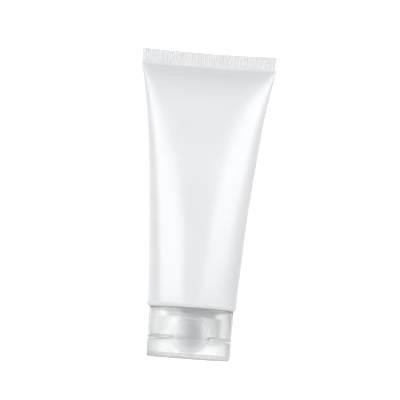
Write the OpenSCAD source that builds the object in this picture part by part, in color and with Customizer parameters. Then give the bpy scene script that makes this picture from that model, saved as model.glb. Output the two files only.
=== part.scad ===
// Travel squeeze tube: a soft sleeve with a crimped end, standing on a clear flip-top screw cap.
// Millimetres, Z up. The lid's flat face is at Z 0, the thumb scoop faces -Y, the hinge is at +Y.

/* [Tube sleeve] */
// Outside diameter of the round end of the sleeve
tube_d = 35; // [32:0.5:40]
// Height of the tube standing on its lid
total_h = 122; // [105:1:150]
// Thickness of the sleeve's wall
wall = 0.5; // [0.4:0.05:0.6]
// Radius of the sleeve's edge where it turns in over the shoulder
corner_r = 2.2; // [1.8:0.1:2.6]
// Share of the flattening that is spread evenly along the sleeve, the rest comes close to the crimp
even_flare = 0.86; // [0.6:0.02:0.9]

/* [Crimped end] */
// Height of the flat heat seal
seal_h = 6; // [5:0.5:9]
// Plain band below the ribs
plain_h = 0.8; // [0.5:0.1:1.2]
// Pressed ribs along the seal
rib_count = 60; // [40:2:64]
// How far each rib stands out
rib_depth = 0.16; // [0.1:0.02:0.24]

/* [Shoulder and neck] */
// Neck diameter as a share of the tube's diameter
neck_share = 0.54; // [0.5:0.01:0.56]
// Thickness of the neck's wall
neck_wall = 2; // [1.6:0.1:2.2]
// Slope of the shoulder's cone from level
shoulder_slope = 17; // [12:1:20]
// Thickness of the washer between neck and cap
washer_t = 0.8; // [0.6:0.1:1.2]

/* [Flip-top cap] */
// Height of the whole cap
cap_h = 19; // [18:0.5:22]
// Height of the flip lid
lid_h = 7.2; // [7:0.1:8]
// Thickness of the cap's outer walls
cap_wall = 1.2; // [1:0.1:1.4]
// Thickness of the deck between base and lid
deck_t = 1.3; // [1:0.1:1.6]
// Diameter of the hole that the tube is squeezed out through
orifice_d = 4.5; // [4.2:0.1:5.2]
// Gap at the parting line of base and lid
parting_gap = 0.25; // [0.2:0.05:0.35]

/* [Thumb scoop] */
// Width of the scoop at the parting line
scoop_w = 12.4; // [10:0.2:14]
// Depth of the scoop at the parting line
scoop_depth = 2.2; // [1.6:0.1:2.4]
// Height of the scoop above the parting line
scoop_up = 7.4; // [6:0.2:8]
// Height of the scoop below the parting line
scoop_down = 4.4; // [3.5:0.1:5]

/* [Living hinge] */
// Width of the strap
strap_w = 9; // [7:0.5:11]
// Thickness of the strap's film
strap_t = 0.35; // [0.3:0.05:0.4]

/* [Hidden] */
$fn = 96;

// Cap: levels and radii
cap_d = tube_d - 1.8;
cap_draft = 0.9;
part_z = lid_h + parting_gap / 2;
deck_z = lid_h + parting_gap;
deck_top = deck_z + deck_t;
edge = 0.35;
lid_corner = 1.2;
plate_t = 1.3;

function cap_r(z) = cap_d / 2 - cap_draft / 2 * (1 - z / cap_h);

// Neck, washer and screw skirt
neck_r = tube_d * neck_share / 2;
bore_r = neck_r - neck_wall;
thread_room = 1;
skirt_wall = 1.5;
skirt_in = neck_r + thread_room;
skirt_out = skirt_in + skirt_wall;
skirt_z = cap_h - 3;
seat_gap = 0.04;
washer_z = deck_top + seat_gap;
rim_z = washer_z + washer_t + seat_gap;

// Nozzle dome, stopper and locating ring
orifice_r = orifice_d / 2;
nose_r = orifice_r + 1.2;
dome_r = nose_r + 3;
dome_h = 3.2;
nose_z = deck_z - dome_h;
funnel_r = dome_r - 1;
throat = 1.4;
ring_out = skirt_out + 0.2;
ring_wall = 1;
ring_h = 1.2;
pin_gap = 0.12;
pin_in = 1.9;

// Sleeve: levels along the tube
lip_turn = 55;
lip_gap = 0.25;
lip_z = cap_h + lip_gap;
round_z = lip_z + corner_r * sin(lip_turn);
weld_h = 3;
loft_z = round_z + weld_h;
seal_z = total_h - seal_h;

// Sleeve: a quarter of its middle line keeps one length from the round end to the crimp
quarter = PI * (tube_d - wall) / 4;
late_power = 5;
seal_slack = 0.02;
seal_keep = (wall / 2 + seal_slack) / (1.37 * quarter);
fuse_h = 0.8;
inside_top = 1 - fuse_h / (seal_z - loft_z);

// Points of the loft: along a quarter, steps between them, rings up the sleeve
quarter_n = 14;
sub_n = 16;
ring_n = 20;
lip_n = 5;
around_n = 4 * quarter_n;

// How open a section is at height share t: 1 at the round end, close to 0 at the crimp
function open(t) =
    let (flat = even_flare * t + (1 - even_flare) * pow(t, late_power))
    seal_keep + (1 - seal_keep) * (1 - flat);

// Direction of the middle line at share u of a quarter, 0 at the front, 90 at the side
function lean(u, t) = 90 * pow(u, 1 / open(t));

// Points draw closer to the side crease as the sleeve flattens
function along(k, t) = 1 - pow(1 - k / quarter_n, 1 + t);

function steps(t) = [
    for (i = [0 : quarter_n * sub_n - 1])
        let (u = along(i / sub_n, t), v = along((i + 1) / sub_n, t), a = lean((u + v) / 2, t))
        [cos(a), sin(a)] * quarter * (v - u)
];

function path(v) = [
    for (i = 0, s = [0, 0]; i <= len(v); s = i < len(v) ? s + v[i] : s, i = i + 1) s
];

// A quarter of one section, moved out along its own normals by off
function quarter_line(t, off) =
    let (p = path(steps(t)), depth = p[len(p) - 1][1])
    [for (k = [0 : quarter_n])
        let (a = lean(along(k, t), t))
        p[k * sub_n] + [sin(a) * off, -depth - cos(a) * off]];

// A whole ring from its quarter, counter-clockwise from the front
function whole(q) = [
    for (k = [0 : around_n - 1])
        k <= quarter_n ? q[k] :
        k <= 2 * quarter_n ? [q[2 * quarter_n - k][0], -q[2 * quarter_n - k][1]] :
        k <= 3 * quarter_n ? [-q[k - 2 * quarter_n][0], -q[k - 2 * quarter_n][1]] :
        [-q[around_n - k][0], q[around_n - k][1]]
];

function raised(ring, z) = [for (p = ring) [p[0], p[1], z]];

function round_ring(r, z) = [
    for (k = [0 : around_n - 1])
        let (a = 360 * k / around_n)
        [r * sin(a), -r * cos(a), z]
];

// The turned-in lip, then the loft. Rings come closer together near the crimp.
function loft_share(k) = 1 - pow(1 - k / ring_n, 1.5);

function skin(off, lip_r, top) = concat(
    [for (k = [0 : lip_n - 1])
        let (a = lip_turn * (1 - k / lip_n))
        round_ring(tube_d / 2 - corner_r + lip_r * cos(a), round_z - lip_r * sin(a))],
    [raised(whole(quarter_line(0, off)), round_z)],
    [for (k = [0 : ring_n])
        let (t = top * loft_share(k))
        raised(whole(quarter_line(t, off)), loft_z + (seal_z - loft_z) * t)]
);

// Triangles between rings, at the open lip and over the flat ends
function quad(a, b, c, d) = [[a, b, c], [a, c, d]];

function band(lower, upper, flip) = [
    for (k = [0 : around_n - 1])
        let (n = (k + 1) % around_n)
        each flip ? quad(lower + k, lower + n, upper + n, upper + k)
                  : quad(lower + k, upper + k, upper + n, lower + n)
];

function end_half(first, from, to, flip) = [
    for (k = [0 : quarter_n - 1])
        let (a = first + from + k, b = a + 1, d = first + (to - k) % around_n, c = first + to - k - 1)
        each k == quarter_n - 1 ? [flip ? [a, d, b] : [a, b, d]]
                                : (flip ? quad(a, d, c, b) : quad(a, b, c, d))
];

function end_face(first, flip) = concat(
    end_half(first, 0, 2 * quarter_n, flip),
    end_half(first, 2 * quarter_n, 4 * quarter_n, flip)
);

// Cutter of the thumb scoop, swung round an upright line in front of the cap
scoop_r = cap_r(part_z);
scoop_floor = scoop_r - scoop_depth;
scoop_sag = sqrt(scoop_r * scoop_r - scoop_w * scoop_w / 4) - scoop_floor;
swing_r = (scoop_w * scoop_w / 4 + scoop_sag * scoop_sag) / (2 * scoop_sag);
scoop_back = 0.9;
scoop_steps = 10;

// Hinge line
land_y = cap_r(part_z) + 0.35;
hinge_y = land_y + 0.1;
loop_in = 0.25;
land_h = 1;

module at_hinge() {
    translate([0, hinge_y, part_z])
        rotate([90, 0, 90])
            children();
}

module scoop(grow) {
    translate([0, -(scoop_floor + swing_r), 0])
        rotate_extrude()
            polygon(concat(
                [[0, part_z - scoop_down - grow]],
                [for (k = [0 : 2 * scoop_steps])
                    let (a = -90 + 90 * k / scoop_steps, h = (a < 0 ? scoop_down : scoop_up) + grow)
                    [swing_r - scoop_depth + (scoop_depth + grow) * cos(a), part_z + h * sin(a)]],
                [[0, part_z + scoop_up + grow]]
            ));
}

// Soft sleeve with its heat-sealed crimp
module tube_sleeve() {
    outer = skin(wall / 2, corner_r, 1);
    inner = skin(-wall / 2, corner_r - wall, inside_top);
    rings = len(outer);
    core = raised([for (p = outer[rings - 1]) [p[0], p[1]]], seal_z + plain_h + 1);
    points = concat([for (r = outer) each r], core, [for (r = inner) each r]);
    inner_0 = (rings + 1) * around_n;
    faces = concat(
        [for (k = [0 : rings - 1]) each band(k * around_n, (k + 1) * around_n, false)],
        [for (k = [0 : rings - 2])
            each band(inner_0 + k * around_n, inner_0 + (k + 1) * around_n, true)],
        band(inner_0, 0, false),
        end_face(rings * around_n, true),
        end_face(inner_0 + (rings - 1) * around_n, false)
    );
    color([0.95, 0.95, 0.94])
        union() {
            polyhedron(points = points, faces = faces);
            crimp(outer[rings - 1]);
        }
}

// Ribbed seal: one outline of flat-topped ribs on both faces, drawn up to the tube's end
module crimp(ring) {
    half_w = ring[quarter_n][0] + 0.03;
    half_t = -ring[0][1] + 0.02;
    margin = 0.7;
    pitch = 2 * (half_w - margin) / rib_count;
    side = [
        for (i = [0 : rib_count - 1], s = [0.15, 0.3, 0.7, 0.85])
            [-half_w + margin + (i + s) * pitch, half_t + (s == 0.3 || s == 0.7 ? rib_depth : 0)]
    ];
    ends = [[half_w - 0.25, half_t], [half_w, half_t - 0.25]];
    upper = concat([for (p = ends) [-p[0], p[1]]], [ends[1], ends[0]]);
    outline = concat(
        [[-half_w, half_t - 0.25], [-half_w + 0.25, half_t]],
        side,
        [upper[3], upper[2]],
        [[half_w, 0.25 - half_t], [half_w - 0.25, -half_t]],
        [for (i = [len(side) - 1 : -1 : 0]) [side[i][0], -side[i][1]]],
        [[0.25 - half_w, -half_t], [-half_w, 0.25 - half_t]]
    );
    translate([0, 0, seal_z + plain_h])
        linear_extrude(height = seal_h - plain_h)
            polygon(outline);
}

// Moulded shoulder and neck, welded inside the sleeve's round end
module tube_head() {
    fit = 0.06;
    turn_r = corner_r - wall - fit;
    turn_x = tube_d / 2 - corner_r;
    cone_a = 90 - shoulder_slope;
    foot = [turn_x + turn_r * cos(cone_a), round_z - turn_r * sin(cone_a)];
    root_z = foot[1] - (foot[0] - neck_r) * tan(shoulder_slope);
    land_r = turn_x + turn_r;
    land_in = land_r - 1;
    soft = 0.3;
    color([0.62, 0.63, 0.63])
        rotate_extrude()
            polygon(concat(
                [[bore_r, rim_z + soft], [bore_r + soft, rim_z]],
                [[neck_r - soft, rim_z], [neck_r, rim_z + soft], [neck_r, root_z]],
                [for (k = [0 : 8]) let (a = cone_a * (1 - k / 8))
                    [turn_x + turn_r * cos(a), round_z - turn_r * sin(a)]],
                [[land_r, round_z + weld_h - 0.6], [land_in, round_z + weld_h - 0.6], [land_in, round_z + 0.6]],
                [[bore_r + soft, root_z + 1.6], [bore_r, root_z + 1.3]]
            ));
}

// Ring that the neck's rim is screwed down on
module seal_washer() {
    color([0.85, 0.85, 0.83])
        translate([0, 0, washer_z])
            rotate_extrude()
                translate([bore_r + 0.1, 0])
                    square([skirt_in - 0.3 - bore_r - 0.1, washer_t]);
}

// Screw-on half of the cap
module cap_base() {
    color([0.86, 0.89, 0.9, 0.6])
        difference() {
            union() {
                base_body();
                intersection() {
                    base_outside();
                    scoop(scoop_back);
                }
                hinge_land(deck_z, 1);
            }
            scoop(0);
        }
}

module base_outside() {
    rotate_extrude()
        polygon([
            [0, deck_z],
            [cap_r(deck_z) - edge, deck_z],
            [cap_r(deck_z + edge), deck_z + edge],
            [cap_r(cap_h - edge), cap_h - edge],
            [cap_r(cap_h) - edge, cap_h],
            [0, cap_h]
        ]);
}

module base_body() {
    rotate_extrude()
        polygon(concat(
            [[cap_r(deck_z) - edge, deck_z], [cap_r(deck_z + edge), deck_z + edge]],
            [[cap_r(cap_h - edge), cap_h - edge], [cap_r(cap_h) - edge, cap_h]],
            [[cap_r(cap_h) - cap_wall, cap_h], [cap_r(deck_top) - cap_wall, deck_top]],
            [[skirt_out, deck_top], [skirt_out, skirt_z], [skirt_in + 0.4, skirt_z]],
            [[skirt_in, skirt_z - 0.6], [skirt_in, deck_top]],
            [for (k = [0 : 8]) let (a = 90 * k / 8)
                [orifice_r + (funnel_r - orifice_r) * cos(a), deck_top - (deck_top - nose_z - throat) * sin(a)]],
            [[orifice_r, nose_z + 0.2], [orifice_r + 0.2, nose_z]],
            [for (k = [8 : -1 : 0]) let (a = 90 * k / 8)
                [nose_r + (dome_r - nose_r) * cos(a), deck_z - dome_h * sin(a)]],
            [[ring_out - ring_wall, deck_z], [ring_out - ring_wall, deck_z - ring_h]],
            [[ring_out - 0.3, deck_z - ring_h], [ring_out, deck_z - ring_h + 0.3], [ring_out, deck_z]]
        ));
}

// Flat boss that carries one end of the strap, above the parting line or below it
module hinge_land(z, up) {
    inside = cap_r(part_z) - cap_wall * 0.8;
    translate([-strap_w / 2, 0, z])
        rotate([90, 0, 90])
            linear_extrude(height = strap_w)
                polygon([
                    [inside, 0],
                    [land_y, 0],
                    [land_y, up * land_h],
                    [inside, up * (land_h + land_y - inside)]
                ]);
}

// Flip lid with its stopper pin
module cap_lid() {
    color([0.86, 0.89, 0.9, 0.6])
        union() {
            difference() {
                union() {
                    difference() {
                        lid_outside();
                        lid_inside();
                    }
                    intersection() {
                        lid_outside();
                        scoop(scoop_back);
                    }
                    hinge_land(lid_h, -1);
                }
                scoop(0);
            }
            stopper();
        }
}

module lid_outside() {
    rotate_extrude()
        union() {
            polygon([
                [0, 0],
                [cap_r(0) - lid_corner, 0],
                [cap_r(0) - lid_corner, lid_corner],
                [cap_r(0), lid_corner],
                [cap_r(lid_h - edge), lid_h - edge],
                [cap_r(lid_h) - edge, lid_h],
                [0, lid_h]
            ]);
            translate([cap_r(0) - lid_corner, lid_corner])
                circle(r = lid_corner);
        }
}

module lid_inside() {
    rotate_extrude()
        polygon([
            [0, plate_t],
            [cap_r(0) - cap_wall - 0.8, plate_t],
            [cap_r(0) - cap_wall, plate_t + 0.8],
            [cap_r(lid_h) - cap_wall, lid_h + 1],
            [0, lid_h + 1]
        ]);
}

module stopper() {
    stop_z = nose_z - 0.2;
    pin_r = orifice_r - pin_gap;
    rotate_extrude()
        polygon([
            [0, plate_t - 0.3],
            [pin_r + 0.7, plate_t - 0.3],
            [pin_r + 0.7, stop_z],
            [pin_r, stop_z],
            [pin_r, nose_z],
            [pin_r - 0.55, nose_z + pin_in - 0.3],
            [pin_r - 0.85, nose_z + pin_in],
            [0, nose_z + pin_in]
        ]);
}

// Thin strap folded round the hinge line
module living_hinge() {
    color([0.86, 0.89, 0.9, 0.6])
        translate([-strap_w / 2, 0, 0])
            at_hinge()
                linear_extrude(height = strap_w)
                    difference() {
                        union() {
                            circle(r = loop_in + strap_t);
                            translate([land_y - hinge_y, -loop_in - strap_t])
                                square([hinge_y - land_y, 2 * (loop_in + strap_t)]);
                        }
                        circle(r = loop_in);
                        translate([-2, -loop_in])
                            square([2, 2 * loop_in]);
                        translate([land_y - hinge_y - 2, -2])
                            square([2, 4]);
                    }
}

tube_sleeve();
tube_head();
seal_washer();
cap_base();
cap_lid();
living_hinge();
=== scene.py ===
"""Looks of a travel squeeze tube that stands on its clear flip-top cap. Metres, Z up, thumb scoop at -Y."""

import math

import bpy
import numpy as np
from mathutils import Matrix, Vector


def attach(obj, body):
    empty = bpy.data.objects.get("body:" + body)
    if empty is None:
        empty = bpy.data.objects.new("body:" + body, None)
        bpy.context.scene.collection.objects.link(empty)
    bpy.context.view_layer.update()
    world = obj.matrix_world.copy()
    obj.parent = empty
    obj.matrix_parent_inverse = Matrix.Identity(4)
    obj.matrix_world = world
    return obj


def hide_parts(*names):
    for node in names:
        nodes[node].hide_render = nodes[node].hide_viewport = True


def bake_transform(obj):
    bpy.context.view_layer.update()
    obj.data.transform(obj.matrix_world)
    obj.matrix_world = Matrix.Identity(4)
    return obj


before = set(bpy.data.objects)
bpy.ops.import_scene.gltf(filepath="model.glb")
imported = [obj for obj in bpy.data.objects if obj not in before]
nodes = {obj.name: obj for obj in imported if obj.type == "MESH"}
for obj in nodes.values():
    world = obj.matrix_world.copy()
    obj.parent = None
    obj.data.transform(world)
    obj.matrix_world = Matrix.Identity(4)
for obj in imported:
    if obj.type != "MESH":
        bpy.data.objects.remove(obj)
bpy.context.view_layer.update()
scene = bpy.context.scene

MM = 0.001

# Sizes of the part in millimetres, the same as in the solids
TUBE_D, WALL, CORNER_R, WELD_H = 35.0, 0.5, 2.2, 3.0
TOTAL_H, SEAL_H, PLAIN_H, FUSE_H = 122.0, 6.0, 0.8, 0.8
SEAL_SLACK, SEAL_SIDE = 0.02, 0.03
EVEN_FLARE, LATE_POWER = 0.86, 5
RIBS, RIB_DEPTH, RIB_MARGIN = 60, 0.16, 0.7
CAP_H, LIP_GAP, PART_Z = 19.0, 0.25, 7.325
NECK_R, SKIRT_IN, LEAD = 9.45, 10.45, 3.0
HINGE_Y, LAND_Y, STRAP_W, STRAP_T, LOOP_IN = 16.778, 16.678, 9.0, 0.35, 0.25

# Places on the sleeve that follow from them
LIP_TURN = math.radians(55)
ROUND_Z = CAP_H + LIP_GAP + CORNER_R * math.sin(LIP_TURN)
LOFT_Z = ROUND_Z + WELD_H
SEAL_Z = TOTAL_H - SEAL_H
QUARTER = math.pi * (TUBE_D - WALL) / 4
# Half depth of a nearly flat section, in quarters of its perimeter, for each unit of openness
FLAT_DEPTH = 1.37
SEAL_KEEP = (WALL / 2 + SEAL_SLACK) / (FLAT_DEPTH * QUARTER)
INSIDE_TOP = 1 - FUSE_H / (SEAL_Z - LOFT_Z)

# Ribs: depth of the grooves pressed between them, and the share of the pitch that a flank takes
GROOVE, RIB_FLANK = 0.14, 0.22

# How the soft sleeve settles, in millimetres: the seal sags from SAG_Z up, tilts, bows and ripples
SAG_Z, SAG, SEAL_HALF = 84.0, 0.45, 27.3
TILT, TILT_X, TILT_W = 0.10, -6.0, 34.0
BOW, BOW_ENDS = 0.55, 0.25
RIPPLE, RIPPLE_RATE, RIPPLE_PHASE = 0.10, 0.23, 0.6
# The walls stand out a little below the seal
FULL, FULL_Z, FULL_RISE, FULL_FALL, FULL_SOFT = 0.45, 98.0, 12.0, 5.5, 0.2
# Slow waves of the walls: depth, radians for each millimetre of height, lobes round the tube, phase
WAVES = ((0.07, 0.085, 2, 0.4), (0.05, 0.16, -3, 1.9))
WAVE_LOW, WAVE_HIGH, WAVE_FADE, WAVE_IN = 30.0, 112.0, 22.0, 0.03

# Mesh of the sleeve: points for each rib and side edge, steps of a section line, rows along the height
RIB_POINTS, EDGE_POINTS, LINE_STEPS = 6, 8, 4000
LIP_ROWS_OUT, LIP_ROWS_IN, ROWS_OUT, ROWS_IN, CROWDING = 9, 4, 53, 15, 1.5

# Threads: steps in a turn, fade at the ends in turns, depth of the foot in the wall, half heights
THREAD_STEPS, THREAD_FADE, THREAD_SINK = 80, 0.1, 0.06
THREAD_FOOT, THREAD_SHOULDER, THREAD_CREST = 0.62, 0.36, 0.2
SHOULDER_SHARE, FADED_SHARE, RIDGE_POINTS = 0.85, 0.03, 6

# Film hinge: steps of its bend, depth in the lands, how much thinner it is at the fold, its rounded sides
ARC_STEPS, LAND_SINK, FOLD_THINNER = 28, 0.06, 0.3
SIDE_ROUND, SIDE_PULL, STRAP_MID = 0.08, 0.04, 2.2

# Painted shade on the film below the seal, where the walls draw in under the crimp, and the film's grey where
# it is pressed, and over which heights
BELOW_SEAL_SHADE_GREY, BELOW_SEAL_SHADE_Z = 0.94, (98.0, SEAL_Z - 0.5)
PRESSED_GREY, PRESSED_Z = 0.96, (SEAL_Z + 0.5, SEAL_Z + 0.9)

# Places and bands on the clear cap where its material changes, in millimetres
SCOOP_Z, SCOOP_HALF_W, SCOOP_HALF_H = 8.8, 6.2, 5.9
SCOOP_Y, SCOOP_LID_Z = (-12.8, -12.2), (3.0, 9.0)
# Fade of the scoop's matt and of its rim, in shares of the scoop's own half size
SCOOP_FADE, RIM_FADE = (0.6, 1.4), (0.05, 0.2)
# Painted shade in the scoop: darkest this far right of its middle, fading out across this band
SCOOP_SHADE_X, SCOOP_SHADE_BAND = 2.0, (1.5, 6.5)
SPLIT_BAND = (0.2, 0.7)
INSIDE_R, INSIDE_Z = (13.2, 13.6), (0.8, 1.6)
# Painted shade along the cap's lower edge, fading out over these heights
FOOT_SHADE_Z = (0.3, 1.0)

# Stage in metres: floor, soft lights, the lit wall behind the tube, and the camera
FLOOR_HALF, FLOOR_GLOW = 2.5, 0.16
LIGHT_AIM, LIGHT_FAR, LIGHT_H = Vector((0, 0, 0.06)), 0.75, 0.48
BACK_TURN, BACK_DARK, BACK_LIGHT, BACK_EDGE = math.radians(9), 0.04, 1.36, (0.55, 0.9)
CAMERA_AT, CAMERA_AIM = Vector((0, -0.42, 0.004)), Vector((0.0002, 0, 0.0622))
VIEW_W, SENSOR_W, CLIP_START, PHOTO_TURN = 0.1576, 36, 0.01, math.radians(4.21)


def smooth(x):
    """A soft step from 0 to 1."""
    x = np.clip(x, 0.0, 1.0)
    return x * x * (3 - 2 * x)


def add_object(name, data):
    obj = bpy.data.objects.new(name, data)
    scene.collection.objects.link(obj)
    return obj


def mesh_object(name, points, faces, sharp=None):
    """A smooth mesh from points in millimetres, with sharp edges above an angle in degrees."""
    mesh = bpy.data.meshes.new(name)
    mesh.from_pydata((np.asarray(points, float) * MM).tolist(), [], faces)
    mesh.validate()
    mesh.shade_smooth()
    if sharp:
        mesh.set_sharp_from_angle(angle=math.radians(sharp))
    return add_object(name, mesh)


# Sleeve

def open_share(t):
    """How open the section is at height share t: 1 at the round end, close to 0 at the crimp."""
    flat = EVEN_FLARE * t + (1 - EVEN_FLARE) * t ** LATE_POWER
    return SEAL_KEEP + (1 - SEAL_KEEP) * (1 - flat)


def quarter_line(t, off, shares):
    """A quarter of the section at height share t, from the front's middle to the side crease."""
    u = np.linspace(0, 1, LINE_STEPS + 1)
    a = math.pi / 2 * u ** (1 / open_share(t))
    mid = (a[1:] + a[:-1]) / 2
    x = np.concatenate([[0], np.cumsum(np.cos(mid))]) * QUARTER / LINE_STEPS
    y = np.concatenate([[0], np.cumsum(np.sin(mid))]) * QUARTER / LINE_STEPS
    lean = np.interp(shares, u, a)
    return (np.interp(shares, u, x) + np.sin(lean) * off,
            np.interp(shares, u, y) - y[-1] - np.cos(lean) * off)


def whole(qx, qy):
    """A ring from its quarter, counter-clockwise from the front."""
    x = np.concatenate([qx[:-1], qx[:0:-1], -qx[:-1], -qx[:0:-1]])
    y = np.concatenate([qy[:-1], -qy[:0:-1], -qy[:-1], qy[:0:-1]])
    return x, y


def band_faces(first, second, n, flip=False):
    """Faces between two rings of n points."""
    out = []
    for k in range(n):
        m = (k + 1) % n
        f = (first + k, first + m, second + m, second + k)
        out.append(f[::-1] if flip else f)
    return out


def end_faces(first, n, flip=False):
    """Flat end of a ring, front points joined to back points."""
    q = n // 4
    out = []
    for base in (0, 2 * q):
        for k in range(q):
            a, b = first + (base + k) % n, first + (base + k + 1) % n
            d, c = first + (base + 2 * q - k) % n, first + (base + 2 * q - k - 1) % n
            f = (a, b, c, d) if b != c else (a, b, d)
            out.append(f[::-1] if flip else f)
    return out


def rib_height(x, pitch, half):
    """Flat-topped ribs across the seal with straight grooves between them, 0 to 1."""
    s = ((x + half) / pitch) % 1.0
    h = np.clip((0.5 - np.abs(s - 0.5)) / RIB_FLANK, 0.0, 1.0)
    return np.where(np.abs(x) <= half + 1e-6, h, 0.0)


def sleeve_settle(p):
    """The soft sleeve isn't perfectly true: the seal sags and bows a little, the walls have slow waves."""
    x, y, z = p[:, 0], p[:, 1], p[:, 2]
    high = smooth((z - SAG_Z) / (TOTAL_H - SAG_Z))
    mid = 1 - np.clip(np.abs(x) / SEAL_HALF, 0, 1) ** 2
    bow = BOW * mid - BOW_ENDS + RIPPLE * np.sin(x * RIPPLE_RATE + RIPPLE_PHASE)
    full = smooth((z - FULL_Z) / FULL_RISE) * smooth((SEAL_Z - z) / FULL_FALL) * mid
    q = p.copy()
    q[:, 2] = z - high * (SAG * mid + TILT * smooth((x - TILT_X) / TILT_W))
    q[:, 1] = y + high * bow + FULL * full * y / (np.abs(y) + FULL_SOFT)
    body = smooth((z - WAVE_LOW) / WAVE_FADE) * smooth((WAVE_HIGH - z) / WAVE_FADE)
    r = np.hypot(x, y) + 1e-6
    angle = np.arctan2(y, x)
    wave = sum(deep * np.sin(rise * z + lobes * angle + phase) for deep, rise, lobes, phase in WAVES)
    wave = wave - WAVE_IN
    q[:, 0] += body * wave * x / r
    q[:, 1] += body * wave * y / r
    return q


def build_sleeve():
    """One wall, outside and inside: turned-in lip, round end, flattening body and ribbed seal."""
    half_w = quarter_line(1, WALL / 2, np.array([0.0, 1.0]))[0][1] + SEAL_SIDE
    rib_half = half_w - RIB_MARGIN
    pitch = 2 * rib_half / RIBS
    shares = np.arange(RIBS * RIB_POINTS // 2 + 1) * pitch / RIB_POINTS / QUARTER
    shares = np.concatenate([shares, np.linspace(shares[-1], 1, EDGE_POINTS + 1)[1:]])
    n = 4 * (len(shares) - 1)

    def ring_at(t, off, z):
        x, y = whole(*quarter_line(t, off, shares))
        return np.column_stack([x, y, np.full(n, z)])

    def lip(off, lip_r, count):
        base = ring_at(0, off, 0)
        r0 = TUBE_D / 2 - WALL / 2 + off
        out = []
        for k in range(count):
            a = LIP_TURN * (1 - k / count)
            r = TUBE_D / 2 - CORNER_R + lip_r * math.cos(a)
            row = base * (r / r0)
            row[:, 2] = ROUND_Z - lip_r * math.sin(a)
            out.append(row)
        return out

    def body(off, top, count):
        """Rows of the flattening part, closer together towards the seal."""
        heights = top * (1 - (1 - np.linspace(0, 1, count)) ** CROWDING)
        return [ring_at(t, off, LOFT_Z + (SEAL_Z - LOFT_Z) * t) for t in heights]

    outer = lip(WALL / 2, CORNER_R, LIP_ROWS_OUT)
    outer += [ring_at(0, WALL / 2, z) for z in (ROUND_Z, ROUND_Z + WELD_H / 2)]
    outer += body(WALL / 2, 1, ROWS_OUT)
    last = outer[-1]
    deep = -last[0, 1]
    rise = rib_height(last[:, 0], pitch, rib_half)
    corner_x, corner_w = 26.4, 0.8
    # Height above the seal's start, share of the ribs' depth, how far the end is rounded in
    levels = [(0.3, 0, 0), (0.62, 0, 0), (0.74, 0.12, 0), (0.86, 0.88, 0), (1.0, 1, 0), (2.0, 1, 0),
              (3.2, 1, 0), (4.4, 1, 0), (5.5, 1, 0), (5.85, 1, 0), (5.96, 0.95, 0.03), (6.0, 0.85, 0.1)]
    for dz, rib, inset in levels:
        row = last.copy()
        grow = (deep + SEAL_SLACK * min(1, dz / PLAIN_H)) / deep
        side = np.sign(row[:, 1])
        ribbed = np.abs(row[:, 0]) <= rib_half
        press = rib * np.where(ribbed, (RIB_DEPTH + GROOVE) * rise - GROOVE, 0.0)
        row[:, 1] = row[:, 1] * grow + side * (press - inset * smooth(np.abs(row[:, 1]) / deep))
        row[:, 0] -= np.sign(row[:, 0]) * inset * smooth((np.abs(row[:, 0]) - corner_x) / corner_w)
        row[:, 2] = SEAL_Z + dz
        outer.append(row)

    inner = lip(-WALL / 2, CORNER_R - WALL, LIP_ROWS_IN)
    inner.append(ring_at(0, -WALL / 2, ROUND_Z))
    inner += body(-WALL / 2, INSIDE_TOP, ROWS_IN)

    faces = []
    for k in range(len(outer) - 1):
        faces += band_faces(k * n, (k + 1) * n, n)
    faces += end_faces((len(outer) - 1) * n, n)
    first = len(outer) * n
    for k in range(len(inner) - 1):
        faces += band_faces(first + k * n, first + (k + 1) * n, n, flip=True)
    faces += end_faces(first + (len(inner) - 1) * n, n, flip=True)
    faces += band_faces(first, 0, n)
    return mesh_object("sleeve_skin", sleeve_settle(np.concatenate(outer + inner)), faces, sharp=50)


# Threads of neck and cap

def build_thread(name, root_r, crest_r, z0, start, stop):
    """A right-hand ridge, start and stop in turns, that fades in and out at its ends."""
    steps = int((stop - start) * THREAD_STEPS)
    sunk_r = root_r + math.copysign(THREAD_SINK, root_r - crest_r)
    points, faces = [], []
    for i in range(steps + 1):
        turn = start + (stop - start) * i / steps
        a = 2 * math.pi * turn
        up = float(smooth(min(turn - start, stop - turn) / THREAD_FADE))
        crest = root_r + (crest_r - root_r) * (FADED_SHARE + (1 - FADED_SHARE) * up)
        shoulder = root_r + (crest - root_r) * SHOULDER_SHARE
        upper = [(crest, THREAD_CREST), (shoulder, THREAD_SHOULDER), (sunk_r, THREAD_FOOT)]
        lower = [(r, -dz) for r, dz in upper[::-1]]
        for r, dz in lower + upper:
            points.append((r * math.cos(a), r * math.sin(a), z0 + LEAD * turn + dz))
    flip = crest_r < root_r
    n = RIDGE_POINTS
    for i in range(steps):
        for k in range(n):
            m = (k + 1) % n
            f = (i * n + k, (i + 1) * n + k, (i + 1) * n + m, i * n + m)
            faces.append(f if flip else f[::-1])
    ends = (tuple(range(n)), tuple(range(steps * n + n - 1, steps * n - 1, -1)))
    faces += [e[::-1] for e in ends] if flip else list(ends)
    return mesh_object(name, points, faces, sharp=60)


# Film hinge

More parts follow.
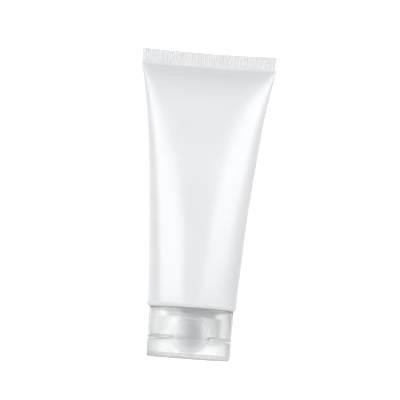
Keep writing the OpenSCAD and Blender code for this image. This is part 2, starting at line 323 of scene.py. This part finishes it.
def build_strap():
    """A thin film folded round the hinge line, a little thinner at its middle."""
    land = LAND_Y - HINGE_Y - LAND_SINK
    mid_r = LOOP_IN + STRAP_T / 2

    def film_face(side):
        """One face of the film, from the base's land round the fold to the lid's land."""
        edge = mid_r + side * STRAP_T / 2
        line = [(land, edge)]
        for k in range(ARC_STEPS + 1):
            a = math.pi / 2 - math.pi * k / ARC_STEPS
            r = mid_r + side * STRAP_T / 2 * (1 - FOLD_THINNER * math.cos(a) ** 2)
            line.append((r * math.cos(a), r * math.sin(a)))
        return line + [(land, -edge)]

    loop = film_face(1) + film_face(-1)[::-1]
    n = len(loop)
    points, faces = [], []
    half_w = STRAP_W / 2
    xs = [-half_w, -half_w + SIDE_ROUND, -STRAP_MID, 0, STRAP_MID, half_w - SIDE_ROUND, half_w]
    for i, x in enumerate(xs):
        pull = SIDE_PULL if i in (0, len(xs) - 1) else 0.0
        for y, z in loop:
            length = math.hypot(y, z) + 1e-9
            k = (length + (pull if length < mid_r else -pull)) / length
            points.append((x, HINGE_Y + y * k, PART_Z + z * k))
    for i in range(len(xs) - 1):
        for k in range(n):
            m = (k + 1) % n
            faces.append((i * n + k, i * n + m, (i + 1) * n + m, (i + 1) * n + k))
    for i, flip in ((0, False), (len(xs) - 1, True)):
        for k in range(n // 2 - 1):
            f = (i * n + k, i * n + n - 1 - k, i * n + n - 2 - k, i * n + k + 1)
            faces.append(f[::-1] if flip else f)
    return mesh_object("hinge_film", points, faces, sharp=50)


# Materials

class Nodes:
    """Adds nodes to the tree of a material or a world."""

    def __init__(self, owner, shader="BSDF_PRINCIPLED", place="Object"):
        owner.use_nodes = True
        self.owner, self.tree = owner, owner.node_tree
        self.shader = next(x for x in self.tree.nodes if x.type == shader)
        self.place = self.add("ShaderNodeTexCoord").outputs[place]

    def feed(self, socket, value):
        """Link a socket to another one, or set its own value."""
        if isinstance(value, bpy.types.NodeSocket):
            self.tree.links.new(value, socket)
        else:
            socket.default_value = value

    def add(self, kind, **values):
        node = self.tree.nodes.new(kind)
        for key, value in values.items():
            if key in node.inputs:
                self.feed(node.inputs[key], value)
            else:
                setattr(node, key, value)
        return node

    def axes(self):
        """The X, Y and Z of a point."""
        return self.add("ShaderNodeSeparateXYZ", Vector=self.place).outputs

    def noise(self, scale, detail, stretch=None):
        where = self.place
        if stretch:
            where = self.add("ShaderNodeMapping", Vector=where, Scale=stretch).outputs["Vector"]
        return self.add("ShaderNodeTexNoise", Vector=where, Scale=scale, Detail=detail).outputs["Fac"]

    def span(self, value, low, high, start=0.3, end=0.7):
        """Goes from low to high while the value goes from start to end."""
        node = self.add("ShaderNodeMapRange", Value=value)
        for key, number in (("From Min", start), ("From Max", end), ("To Min", low), ("To Max", high)):
            self.feed(node.inputs[key], number)
        return node.outputs["Result"]

    def zone(self, value, low, high, band):
        """Goes from low to high across a band in millimetres."""
        return self.span(value, low, high, band[0] * MM, band[1] * MM)

    def mix(self, fac, a, b):
        node = self.add("ShaderNodeMix", data_type="RGBA")
        self.feed(node.inputs["Factor"], fac)
        for socket, colour in ((node.inputs[6], a), (node.inputs[7], b)):
            self.feed(socket, colour if isinstance(colour, bpy.types.NodeSocket) else (*colour, 1))
        return node.outputs[2]

    def calc(self, operation, *values):
        node = self.add("ShaderNodeMath", operation=operation)
        for socket, value in zip(node.inputs, values):
            self.feed(socket, value)
        return node.outputs[0]

    def apart(self, a, b):
        return self.calc("ABSOLUTE", self.calc("SUBTRACT", a, b))

    def hypot(self, a, b):
        return self.calc("SQRT", self.calc("ADD", self.calc("MULTIPLY", a, a), self.calc("MULTIPLY", b, b)))

    def bump(self, height, strength, distance, under=None):
        node = self.add("ShaderNodeBump", Height=height, Strength=strength, Distance=distance)
        if under is not None:
            self.feed(node.inputs["Normal"], under)
        return node.outputs["Normal"]

    def set(self, **values):
        """Fill the shader's own sockets."""
        for key, value in values.items():
            self.feed(self.shader.inputs[key.replace("_", " ")], value)
        return self.owner


def white_film(name, low, high, rough, gloss=0.5):
    """Soft plastic: faint clouds, slow dents, uneven sheen and satin grain, painted shade below the seal and
    a little greyer on the seal.
    """
    s = Nodes(bpy.data.materials.new(name))
    z = s.axes()["Z"]
    film = s.mix(s.span(s.noise(scale=48, detail=3), 0, 1), low, high)
    # Painted shade: the film darkens towards the seal, for the shadowed band under the crimp
    film = s.mix(s.zone(z, 0, 1, BELOW_SEAL_SHADE_Z), film, [BELOW_SEAL_SHADE_GREY * c for c in low])
    film = s.mix(s.zone(z, 0, 1, PRESSED_Z), film, [PRESSED_GREY * c for c in low])
    sheen = s.span(s.noise(scale=110, detail=2), rough - 0.06, rough + 0.06, -0.5, 1.5)
    dents = s.bump(s.noise(scale=70, detail=1), strength=0.25, distance=0.2 * MM)
    grain = s.bump(s.noise(scale=2600, detail=2), strength=0.06, distance=0.02 * MM, under=dents)
    return s.set(Base_Color=film, Normal=grain, IOR=1.5, Roughness=sheen, Specular_IOR_Level=gloss)


def scoop_shares(s, x, y, z):
    """How far a point of the cap belongs to the matt thumb scoop, and to the scoop's rim, 0 to 1."""
    across = s.calc("MULTIPLY", x, 1 / (SCOOP_HALF_W * MM))
    along = s.calc("MULTIPLY", s.calc("SUBTRACT", z, SCOOP_Z * MM), 1 / (SCOOP_HALF_H * MM))
    away = s.hypot(across, along)
    front = s.zone(y, 1, 0, SCOOP_Y)
    lid = s.zone(z, 0.5, 1, SCOOP_LID_Z)
    matt = s.calc("MULTIPLY", s.span(away, 1, 0, *SCOOP_FADE), s.calc("MULTIPLY", front, lid))
    rim = s.calc("MULTIPLY", s.span(s.apart(away, 1.0), 1, 0, *RIM_FADE), front)
    return matt, rim


def clear_plastic(name):
    """Clear moulded plastic: flow lines, light scuffs, a matt scoop with painted shade at its middle,
    unpolished inside, painted shade along the lower edge.
    """
    s = Nodes(bpy.data.materials.new(name))
    x, y, z = s.axes()
    matt, rim = scoop_shares(s, x, y, z)
    flow = s.noise(scale=60, detail=3, stretch=(1, 1, 2.2))
    scuff = s.noise(scale=1, detail=3, stretch=(1500, 240, 700))
    normal = s.bump(flow, strength=0.08, distance=0.12 * MM)
    normal = s.bump(scuff, strength=0.03, distance=0.02 * MM, under=normal)

    split = s.zone(s.apart(z, PART_Z * MM), 0.5, 0.0, SPLIT_BAND)
    inside = s.calc("MULTIPLY", s.zone(s.hypot(x, y), 0.48, 0.0, INSIDE_R), s.zone(z, 0, 1, INSIDE_Z))
    rough = s.span(matt, s.span(scuff, 0.17, 0.23), 0.42, 0, 1)
    for rougher in (split, s.span(rim, 0.0, 0.6, 0, 1), inside):
        rough = s.calc("MAXIMUM", rough, rougher)

    tint = s.mix(s.span(flow, 0, 1), (0.972, 0.984, 0.985), (0.988, 0.994, 0.995))
    # Painted shade: the cap darkens along its lower edge
    tint = s.mix(s.zone(z, 1, 0, FOOT_SHADE_Z), tint, (0.74, 0.75, 0.76))
    # Painted shade: the scoop's middle, a little right of centre, is darker
    scoop_shade = s.mix(s.zone(s.apart(x, SCOOP_SHADE_X * MM), 0, 1, SCOOP_SHADE_BAND), (0.63, 0.64, 0.655), (0.90, 0.91, 0.92))
    shadow = s.add("ShaderNodeLightPath").outputs["Is Shadow Ray"]
    return s.set(Base_Color=s.mix(matt, tint, scoop_shade), Normal=normal, Roughness=rough, IOR=1.49,
                 Transmission_Weight=s.span(matt, 0.9, 0.6, 0, 1), Alpha=s.span(shadow, 1.0, 0.1, 0, 1))


def put(obj, material):
    obj.data.materials.clear()
    obj.data.materials.append(material)


# Pieces

sleeve_mat = white_film("sleeve_film", (0.835, 0.845, 0.862), (0.87, 0.878, 0.892), rough=0.29, gloss=0.65)
# Painted shade: the head and its thread are coloured a mid grey, for the shoulder and neck that lie in shadow
# inside the cap
shaded_head_mat = white_film("head_plastic_painted_shade", (0.46, 0.47, 0.48), (0.51, 0.515, 0.52), rough=0.42)
washer_mat = white_film("washer_foam", (0.74, 0.745, 0.74), (0.82, 0.82, 0.81), rough=0.6, gloss=0.3)
clear_mat = clear_plastic("clear_cap_plastic")

sleeve = build_sleeve()
put(sleeve, sleeve_mat)
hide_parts("tube_sleeve")
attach(sleeve, "tube")

neck_thread = build_thread("neck_thread", NECK_R, crest_r=10.2, z0=10.75, start=0.0, stop=1.5)
put(neck_thread, shaded_head_mat)
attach(neck_thread, "tube")

cap_thread = build_thread("cap_thread", SKIRT_IN, crest_r=9.72, z0=12.25, start=-0.45, stop=0.9)
put(cap_thread, clear_mat)
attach(cap_thread, "cap")

strap = build_strap()
put(strap, clear_mat)
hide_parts("living_hinge")
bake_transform(strap)

put(nodes["tube_head"], shaded_head_mat)
put(nodes["seal_washer"], washer_mat)
put(nodes["cap_base"], clear_mat)
put(nodes["cap_lid"], clear_mat)


# Stage, light and camera

def build_floor():
    """Pale paper, lit a little from below, plain white where the camera sees it."""
    half = FLOOR_HALF / MM
    obj = mesh_object("floor", [(-half, -half, 0), (half, -half, 0), (half, half, 0), (-half, half, 0)],
                      [(0, 1, 2, 3)])
    s = Nodes(bpy.data.materials.new("floor_paper"))
    seen = s.add("ShaderNodeLightPath").outputs["Is Camera Ray"]
    paper = s.mix(s.span(s.noise(scale=300, detail=2), 0, 1), (0.84, 0.84, 0.84), (0.87, 0.87, 0.87))
    put(obj, s.set(Base_Color=paper, Roughness=0.9, Specular_IOR_Level=0.1, Emission_Color=(1, 1, 1, 1),
                   Emission_Strength=s.span(seen, FLOOR_GLOW, 1.0, 0, 1)))


def softbox(name, azimuth, lift, width, power):
    """A soft rectangle of light; azimuth 0 is the camera's side, positive to the right."""
    data = bpy.data.lights.new(name, "AREA")
    data.shape = "RECTANGLE"
    data.size, data.size_y, data.energy = width, LIGHT_H, power
    obj = add_object(name, data)
    a, e = math.radians(azimuth), math.radians(lift)
    way = Vector((math.sin(a) * math.cos(e), -math.cos(a) * math.cos(e), math.sin(e)))
    turn = way.to_track_quat("Z", "Y").to_matrix().to_4x4()
    obj.matrix_world = Matrix.Translation(LIGHT_AIM + way * LIGHT_FAR) @ turn
    obj.visible_camera = False


def build_world():
    """Dark surroundings with a white wall behind the object, white wherever the camera sees them."""
    world = bpy.data.worlds.new("studio")
    scene.world = world
    s = Nodes(world, "BACKGROUND", "Generated")
    toward = s.add("ShaderNodeVectorMath", operation="DOT_PRODUCT")
    s.feed(toward.inputs[0], s.place)
    s.feed(toward.inputs[1], (-math.sin(BACK_TURN), math.cos(BACK_TURN), 0))
    wall = s.span(toward.outputs["Value"], BACK_DARK, BACK_LIGHT, *BACK_EDGE)
    seen = s.add("ShaderNodeLightPath").outputs["Is Camera Ray"]
    s.set(Color=(1, 1, 1, 1), Strength=s.calc("MAXIMUM", wall, seen))


def build_camera():
    """A low camera before the tube, turned as the picture is."""
    data = bpy.data.cameras.new("camera")
    data.sensor_width = SENSOR_W
    data.lens = SENSOR_W * (CAMERA_AT - CAMERA_AIM).length / VIEW_W
    data.clip_start = CLIP_START
    obj = add_object("camera", data)
    turn = (CAMERA_AIM - CAMERA_AT).to_track_quat("-Z", "Y").to_matrix().to_4x4()
    obj.matrix_world = Matrix.Translation(CAMERA_AT) @ turn @ Matrix.Rotation(PHOTO_TURN, 4, "Z")
    scene.camera = obj


build_floor()
build_world()
softbox("light_left", azimuth=-57, lift=6, width=0.95, power=5.1)
softbox("light_right", azimuth=54, lift=23, width=0.90, power=4.4)
build_camera()
scene.view_settings.view_transform = "Standard"
scene.view_settings.look = "None"
